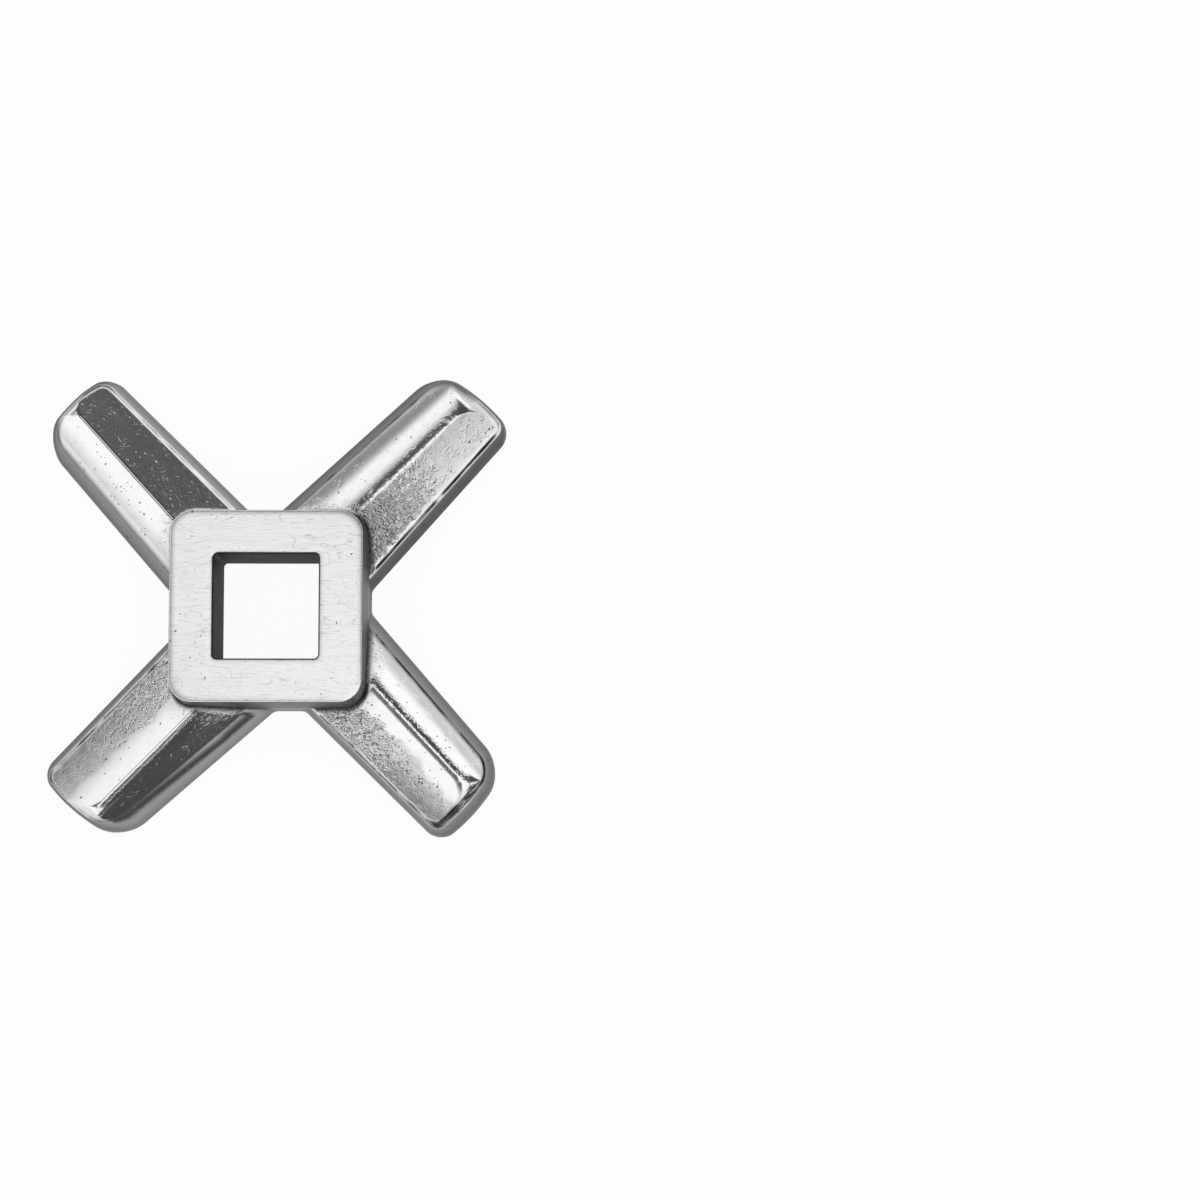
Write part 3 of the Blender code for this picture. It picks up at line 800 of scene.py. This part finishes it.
class Graph:
    """Short words for making and joining the nodes of one shader tree."""

    def __init__(self, tree):
        self.nodes, self.links = tree.nodes, tree.links

    def node(self, kind, inputs=None, **settings):
        """A node with its settings, each input set to a value or joined to another node's socket."""
        made = self.nodes.new("ShaderNode" + kind)
        for name, value in settings.items():
            setattr(made, name, value)
        for name, value in (inputs or {}).items():
            if isinstance(value, bpy.types.NodeSocket):
                self.links.new(value, made.inputs[name])
            else:
                made.inputs[name].default_value = value
        return made

    def math(self, operation, *values):
        return self.node("Math", dict(enumerate(values)), operation=operation).outputs[0]

    def folded(self, operation, values):
        total = values[0]
        for value in values[1:]:
            total = self.math(operation, total, value)
        return total

    def add(self, *values):
        return self.folded("ADD", values)

    def times(self, *values):
        return self.folded("MULTIPLY", values)

    def weighted(self, *pairs):
        """The sum of each pair's product."""
        return self.add(*[self.times(*pair) for pair in pairs])

    def rising(self, value, base, gain):
        """The base plus the gain times a value."""
        return self.add(base, self.times(value, gain))

    def less(self, first, second):
        return self.math("SUBTRACT", first, second)

    def ramp(self, value, low, high, first=0.0, last=1.0):
        """First below low, last above high, eased between them."""
        inputs = {"Value": value, "From Min": low, "From Max": high, "To Min": first, "To Max": last}
        return self.node("MapRange", inputs, interpolation_type="SMOOTHSTEP").outputs["Result"]

    def mix(self, share, first, last):
        return self.node("Mix", {0: share, 2: first, 3: last}).outputs[0]

    def mix_colour(self, share, first, last, **settings):
        return self.node("Mix", {0: share, 6: first, 7: last}, data_type="RGBA", **settings).outputs[2]

    def darken(self, colour, share):
        """A colour times one less a share."""
        grey = self.node("CombineColor", {channel: self.less(1.0, share) for channel in range(3)}).outputs[0]
        return self.mix_colour(1.0, colour, grey, blend_type="MULTIPLY")

    def noise(self, places, scale, detail=2.0, roughness=0.5, distortion=0.0):
        inputs = {"Vector": places, "Scale": scale, "Detail": detail, "Roughness": roughness,
                  "Distortion": distortion}
        return self.node("TexNoise", inputs).outputs["Fac"]

    def vector(self, operation, first, second, label=1):
        return self.node("VectorMath", {0: first, label: second}, operation=operation).outputs[0]

    def drawn(self, places, **settings):
        """Places stretched or turned about the origin."""
        return self.node("Mapping", {"Vector": places, **settings}).outputs[0]

    def use(self, group, places, **inputs):
        """What a node group gives at these places, with its other inputs by name."""
        inputs["Places"] = places
        return self.node("Group", inputs, node_tree=bpy.data.node_groups[group]).outputs[0]


def new_group(name, *inputs):
    """An empty node group: its graph, what it is given (places and these numbers) and the number it gives."""
    tree = bpy.data.node_groups.new(name, "ShaderNodeTree")
    tree.interface.new_socket("Places", in_out="INPUT", socket_type="NodeSocketVector")
    for label in inputs:
        tree.interface.new_socket(label, in_out="INPUT", socket_type="NodeSocketFloat")
    tree.interface.new_socket("Amount", in_out="OUTPUT", socket_type="NodeSocketFloat")
    return Graph(tree), tree.nodes.new("NodeGroupInput").outputs, tree.nodes.new("NodeGroupOutput").inputs[0]


def pits_group():
    """Pits: hollows round the points of a warped cell pattern, at a share of them, each of its own width."""
    graph, given, result = new_group("pits", "Scale", "Share", "Width")
    warp_inputs = {"Vector": given["Places"], "Scale": graph.times(given["Scale"], 1.6), "Detail": 1.0}
    warp = graph.node("TexNoise", warp_inputs).outputs["Color"]
    reach = graph.math("DIVIDE", 0.7, given["Scale"])
    shift = graph.vector("SCALE", graph.vector("SUBTRACT", warp, (0.5, 0.5, 0.5)), reach, "Scale")
    places = graph.vector("ADD", given["Places"], shift)
    cell = graph.node("TexVoronoi", {"Vector": places, "Scale": given["Scale"]})
    draw = graph.node("SeparateColor", {0: cell.outputs["Color"]}).outputs
    there = graph.math("LESS_THAN", draw[0], given["Share"])
    width = graph.times(given["Width"], graph.ramp(draw[1], 0.0, 1.0, 0.5, 1.0))
    depth = graph.ramp(graph.math("DIVIDE", cell.outputs["Distance"], width), 0.25, 1.0, 1.0, 0.0)
    graph.links.new(graph.times(there, depth), result)


def hairlines_group():
    """Hairlines: level lines of a soft noise, kept where a broader noise is high."""
    graph, given, result = new_group("hairlines", "Scale", "Levels", "Width", "Share")
    field = graph.noise(given["Places"], given["Scale"], 1.5, 0.45, 0.6)
    step = graph.math("FRACT", graph.times(field, given["Levels"]))
    line = graph.ramp(graph.math("ABSOLUTE", graph.less(step, 0.5)), 0.0, given["Width"], 1.0, 0.0)
    patches = graph.noise(given["Places"], graph.times(given["Scale"], 0.8), 2.0, 0.6, 1.0)
    low = graph.less(1.0, given["Share"])
    graph.links.new(graph.times(line, graph.ramp(patches, low, graph.add(low, 0.08))), result)


def brushing_group():
    """Brushing: two noises drawn out along the first axis of the places, from 0 to 1 round a half."""
    graph, given, result = new_group("brushing", "Fineness", "Length")
    parts = graph.node("SeparateXYZ", {0: given["Places"]}).outputs
    across = {axis: graph.times(parts[axis], given["Fineness"]) for axis in (1, 2)}
    along = graph.math("DIVIDE", parts[0], given["Length"])
    drawn = graph.node("CombineXYZ", {0: along, **across}).outputs[0]
    fine, broad = graph.noise(drawn, 1.0, 3.0, 0.65), graph.noise(drawn, 0.27, 2.0, 0.5)
    graph.links.new(graph.weighted((fine, 0.6), (broad, 0.4)), result)


def new_material(name):
    material = bpy.data.materials.new(name)
    material.use_nodes = True
    return material, Graph(material.node_tree)


def steel(graph, colour, roughness, height, metallic=1.0):
    """Joins a finish to its shader: its colour, its roughness and its relief in millimetres."""
    shader = graph.nodes["Principled BSDF"]
    shader.inputs["Metallic"].default_value = metallic
    shader.inputs["Specular Tint"].default_value = EDGE_TINT
    graph.links.new(colour, shader.inputs["Base Color"])
    graph.links.new(roughness, shader.inputs["Roughness"])
    bump = graph.node("Bump", {"Strength": 1.0, "Distance": MM, "Height": height})
    graph.links.new(bump.outputs["Normal"], shader.inputs["Normal"])
    return shader


def cast_steel(graph, places):
    """Cast and tumbled skin: bright where polished, wrinkled where rough, darkened on walls, on the steep
    flank's foot, in grooves and along roots as painted shade, on walls partly dull skin too.

    Folds, strokes and worm-like lines add relief, and the pits add relief and darken the colour."""
    rough, wrinkles, wall, painted_shade, pitted = (
        graph.node("Attribute", attribute_name=mark).outputs["Fac"] for mark in MARKS
    )
    cloud = graph.noise(places, 900.0, 4.0, 0.6)
    speckle = graph.noise(places, 5200.0, 2.0, 0.6)
    # Painted shade, broken into patches by a noise
    painted_shade = graph.times(painted_shade, graph.ramp(graph.noise(places, 1500.0, 2.0, 0.6), 0.25, 0.6, 0.8, 1.0))
    pits = graph.use("pits", places, Scale=1900.0, Share=graph.rising(pitted, 0.04, 0.45), Width=0.42)
    fine_pits = graph.use("pits", places, Scale=2300.0, Share=0.35, Width=0.34)
    worms = graph.use("hairlines", places, Scale=700.0, Levels=3.0, Width=0.09, Share=0.46)
    strokes = graph.use("hairlines", places, Scale=760.0, Levels=4.0, Width=0.26, Share=0.58)
    folds = graph.math("ABSOLUTE", graph.less(graph.noise(places, 850.0, 1.5, 0.5, 1.6), 0.5))

    colour = graph.mix_colour(rough, POLISHED_COLOUR, ROUGH_COLOUR)
    # Towards near black where the wall and painted shade marks say: painted shade, on walls partly dull skin
    for dull in (wall, painted_shade):
        colour = graph.mix_colour(dull, colour, DULL_AND_SHADE_COLOUR)
    tone_and_pits = graph.times(graph.ramp(cloud, 0.35, 0.75), graph.rising(rough, 0.06, 0.14))
    tone_and_pits = graph.add(tone_and_pits, graph.times(pits, 0.78), graph.times(fine_pits, graph.times(rough, 0.30)))
    smooth = graph.mix(graph.math("MAXIMUM", wall, painted_shade), graph.mix(rough, 0.12, 0.27), 0.36)
    smooth = graph.add(smooth, graph.times(graph.less(speckle, 0.5), 0.10), graph.times(pits, 0.15))
    relief = graph.weighted(
        (pits, graph.rising(rough, -0.018, -0.040)),
        (fine_pits, graph.times(wrinkles, -0.045)),
        (strokes, graph.times(wrinkles, 0.09)),
        (folds, graph.times(wrinkles, wrinkles, 0.95)),
        (worms, graph.rising(wrinkles, -0.005, -0.02)),
        (speckle, graph.rising(rough, 0.0006, 0.005)),
    )
    steel(graph, graph.darken(colour, tone_and_pits), smooth, relief)


def ground_steel(graph, places):
    """Ground boss face: fine strokes along x, faint swirls and a few pits."""
    stroke = graph.use("brushing", places, Fineness=5600.0, Length=0.0022)
    grain, swirl = (graph.drawn(places, Scale=(along, 1.0, 1.0)) for along in (0.11, 0.45))
    lines = graph.use("hairlines", grain, Scale=1100.0, Levels=7.0, Width=0.12, Share=0.64)
    swirls = graph.use("hairlines", swirl, Scale=330.0, Levels=9.0, Width=0.10, Share=0.52)
    pits = graph.use("pits", places, Scale=1500.0, Share=0.22, Width=0.30)
    pits = graph.times(pits, graph.ramp(graph.noise(places, 170.0, 1.0), 0.50, 0.60))
    colour = graph.mix_colour(graph.noise(places, 260.0, 3.0, 0.6), *GROUND_COLOURS)
    dull = graph.weighted((graph.less(1.0, stroke), 0.13), (lines, 0.19), (swirls, 0.17), (pits, 0.7))
    relief = graph.weighted((stroke, 0.0014), (lines, -0.0010), (pits, -0.02))
    steel(graph, graph.darken(colour, dull), graph.rising(stroke, 0.20, 0.12), relief)


def broached_square_painted_shade(graph, places):
    """Broached drive square, with strokes along its depth: near black and without bare metal's shine, as
    painted shade inside the square hole.
    """
    turned_places = graph.drawn(places, Rotation=(0.0, math.tau / 4, 0.0))
    stroke = graph.use("brushing", turned_places, Fineness=2600.0, Length=0.006)
    cloud = graph.noise(places, 420.0, 3.0, 0.6)
    colour = graph.darken(graph.mix_colour(cloud, *SQUARE_SHADE_COLOURS), graph.times(stroke, 0.35))
    shader = steel(graph, colour, graph.rising(cloud, 0.55, 0.16), graph.times(stroke, 0.006), metallic=0.0)
    shader.inputs["Specular IOR Level"].default_value = 0.10


def cutting_face(graph, places):
    """Cutting face ground while it turned: strokes round the axis, so they change only with the radius."""
    parts = graph.node("SeparateXYZ", {0: places}).outputs
    radius = graph.math("SQRT", graph.add(*(graph.times(part, part) for part in parts[:2])))
    rings = graph.node("CombineXYZ", {0: graph.math("ARCTAN2", parts[1], parts[0]), 1: radius}).outputs[0]
    stroke = graph.use("brushing", rings, Fineness=4200.0, Length=0.35)
    pits = graph.use("pits", places, Scale=700.0, Share=0.12, Width=0.16)
    colour = graph.darken(graph.mix_colour(stroke, *CUTTING_COLOURS), graph.times(pits, 0.4))
    relief = graph.weighted((stroke, 0.003), (pits, -0.02))
    steel(graph, colour, graph.rising(stroke, 0.20, 0.10), relief)


def linked(name, data):
    obj = bpy.data.objects.new(name, data)
    bpy.context.scene.collection.objects.link(obj)
    return obj


def camera():
    """The photograph's camera: its axes come from the pixel that lies straight under the lens."""
    centre = PHOTO_SIZE / 2
    up = np.array([centre - UNDER_LENS[0], UNDER_LENS[1] - centre, FOCAL_PIXELS], float)
    up /= np.linalg.norm(up)
    right = np.array([1.0, 0.0, 0.0])
    right -= right @ up * up
    right /= np.linalg.norm(right)
    data = bpy.data.cameras.new("camera")
    data.sensor_width = SENSOR_WIDTH
    data.lens = SENSOR_WIDTH * FOCAL_PIXELS / PHOTO_SIZE
    data.clip_start = CLIP_START
    obj = linked("camera", data)
    turn = Matrix(np.array([right, np.cross(up, right), up]).tolist()).to_4x4()
    obj.matrix_world = Matrix.Translation([value * MM for value in CAMERA_PLACE]) @ turn
    bpy.context.scene.camera = obj


# Stage, in metres and degrees: each of the tent's cloths runs into the next over a span of azimuth
TENT_RADIUS = 0.9
TENT_STEPS = (2.0, 1.0)
TENT_FOOT = -30
CLOTH_SPAN = (35, 55)
FLOOR_HALF = 3.0
FLOOR_HEIGHT = -0.0002
FLOOR_WHITE = 0.95
PAPER_COLOUR = (0.9, 0.9, 0.9, 1)
WORLD_LIGHT = 0.85
# The tent's four cloths: the azimuth that each one faces, and its brightness by elevation
CLOTHS = (
    (45, (-30, -5, 0, 4, 7, 22, 26, 31, 60, 74, 83, 90),
     (0.25, 0.25, 0.60, 0.75, 1.22, 1.28, 0.80, 0.08, 0.07, 0.10, 1.15, 1.25)),
    (135, (-30, 0, 4, 6, 9, 13, 30, 36, 41, 45, 49, 53, 68, 74, 90),
     (0.30, 0.18, 0.28, 0.42, 0.85, 1.18, 1.10, 0.85, 0.65, 0.50, 0.15, 0.10, 0.10, 1.20, 1.30)),
    (225, (-18, 0, 6, 15, 25, 41, 45, 49, 54, 74, 83),
     (0.55, 0.80, 0.88, 1.02, 1.18, 1.20, 0.70, 0.38, 0.16, 0.16, 1.20)),
    (315, (-10, 20, 25, 30, 34, 37, 45, 55, 90), (0.07, 0.07, 0.15, 0.45, 0.85, 1.02, 1.10, 1.30, 1.25)),
)


def tent_light(azimuth, elevation):
    """Brightness in a direction: each cloth's value at the elevation, by its share at the azimuth."""
    total, shares = 0.0, 0.0
    for facing, heights, light in CLOTHS:
        off = np.abs((azimuth - facing + 180) % 360 - 180)
        share = 1 - smooth_step(*CLOTH_SPAN, off)
        total = total + share * np.interp(elevation, heights, light)
        shares = shares + share
    return total / shares


def stage_piece(name, corners, faces, look):
    """A piece of the stage and the graph of its material, which has no shader yet."""
    mesh = bpy.data.meshes.new(name)
    mesh.from_pydata(corners, [], faces)
    material, graph = new_material(look)
    graph.nodes.remove(graph.nodes["Principled BSDF"])
    mesh.materials.append(material)
    return linked(name, mesh), graph


def show(graph, shader):
    """Joins a shader to the material's surface."""
    graph.links.new(shader, graph.nodes["Material Output"].inputs["Surface"])


def tent():
    """A round tent that only reflections see: a sphere's grid, its cloths' light worked out at each place."""
    across, up = TENT_STEPS
    azimuth, elevation = np.meshgrid(np.arange(0, 360 + across, across), np.arange(TENT_FOOT, 90 + up, up))
    a, e = np.radians(azimuth), np.radians(elevation)
    places = points(np.cos(e) * np.cos(a), np.cos(e) * np.sin(a), np.sin(e)) * TENT_RADIUS
    quads = grid_quads(np.arange(a.size).reshape(a.shape)).reshape(-1, 4)
    obj, graph = stage_piece("tent", places.reshape(-1, 3).tolist(), quads.tolist(), "tent_cloth")
    light = obj.data.attributes.new("light", "FLOAT", "POINT")
    light.data.foreach_set("value", tent_light(azimuth, elevation).reshape(-1).astype(np.float32))
    attribute = graph.node("Attribute", attribute_name="light").outputs["Fac"]
    show(graph, graph.node("Emission", {"Strength": attribute}).outputs["Emission"])
    obj.visible_camera = obj.visible_diffuse = obj.visible_shadow = obj.visible_transmission = False


def seen_or_mirrored(graph):
    """1 for what the camera sees straight, in a mirror image or through glass, 0 for the light on things."""
    path = graph.node("LightPath").outputs
    seen = graph.math("MAXIMUM", path["Is Camera Ray"], path["Is Glossy Ray"])
    return graph.math("MAXIMUM", seen, path["Is Transmission Ray"])


def floor():
    """White paper: mostly its own white to the eye, lit like the rest, and clear from below."""
    signs = ((-1, -1), (1, -1), (1, 1), (-1, 1))
    corners = [(x * FLOOR_HALF, y * FLOOR_HALF, FLOOR_HEIGHT) for x, y in signs]
    obj, graph = stage_piece("floor", corners, [(0, 1, 2, 3)], "floor_paper")
    paper = graph.node("BsdfDiffuse", {"Color": PAPER_COLOUR}).outputs[0]
    white, clear = graph.node("Emission").outputs[0], graph.node("BsdfTransparent").outputs[0]
    share = graph.times(seen_or_mirrored(graph), FLOOR_WHITE)
    above = graph.node("MixShader", {0: share, 1: paper, 2: white}).outputs[0]
    behind = graph.node("NewGeometry").outputs["Backfacing"]
    show(graph, graph.node("MixShader", {0: behind, 1: above, 2: clear}).outputs[0])


def world():
    """White for the camera and in reflections, and plain soft light for the rest."""
    made = bpy.data.worlds.new("studio")
    bpy.context.scene.world = made
    made.use_nodes = True
    graph = Graph(made.node_tree)
    background = graph.nodes["Background"].inputs
    background["Color"].default_value = (1, 1, 1, 1)
    graph.links.new(graph.mix(seen_or_mirrored(graph), WORLD_LIGHT, 1.0), background["Strength"])


def main():
    bpy.context.scene.view_settings.view_transform = "Standard"
    camera()
    world()
    tent()
    floor()
    mesh = knife_mesh()
    finish_mesh(mesh)
    knife = linked("cast_knife", mesh)
    for group in (pits_group, hairlines_group, brushing_group):
        group()
    for finish in (cast_steel, ground_steel, broached_square_painted_shade, cutting_face):
        material, graph = new_material(finish.__name__)
        finish(graph, graph.node("TexCoord").outputs["Object"])
        mesh.materials.append(material)
    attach(knife, "root")
    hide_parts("knife")


main()
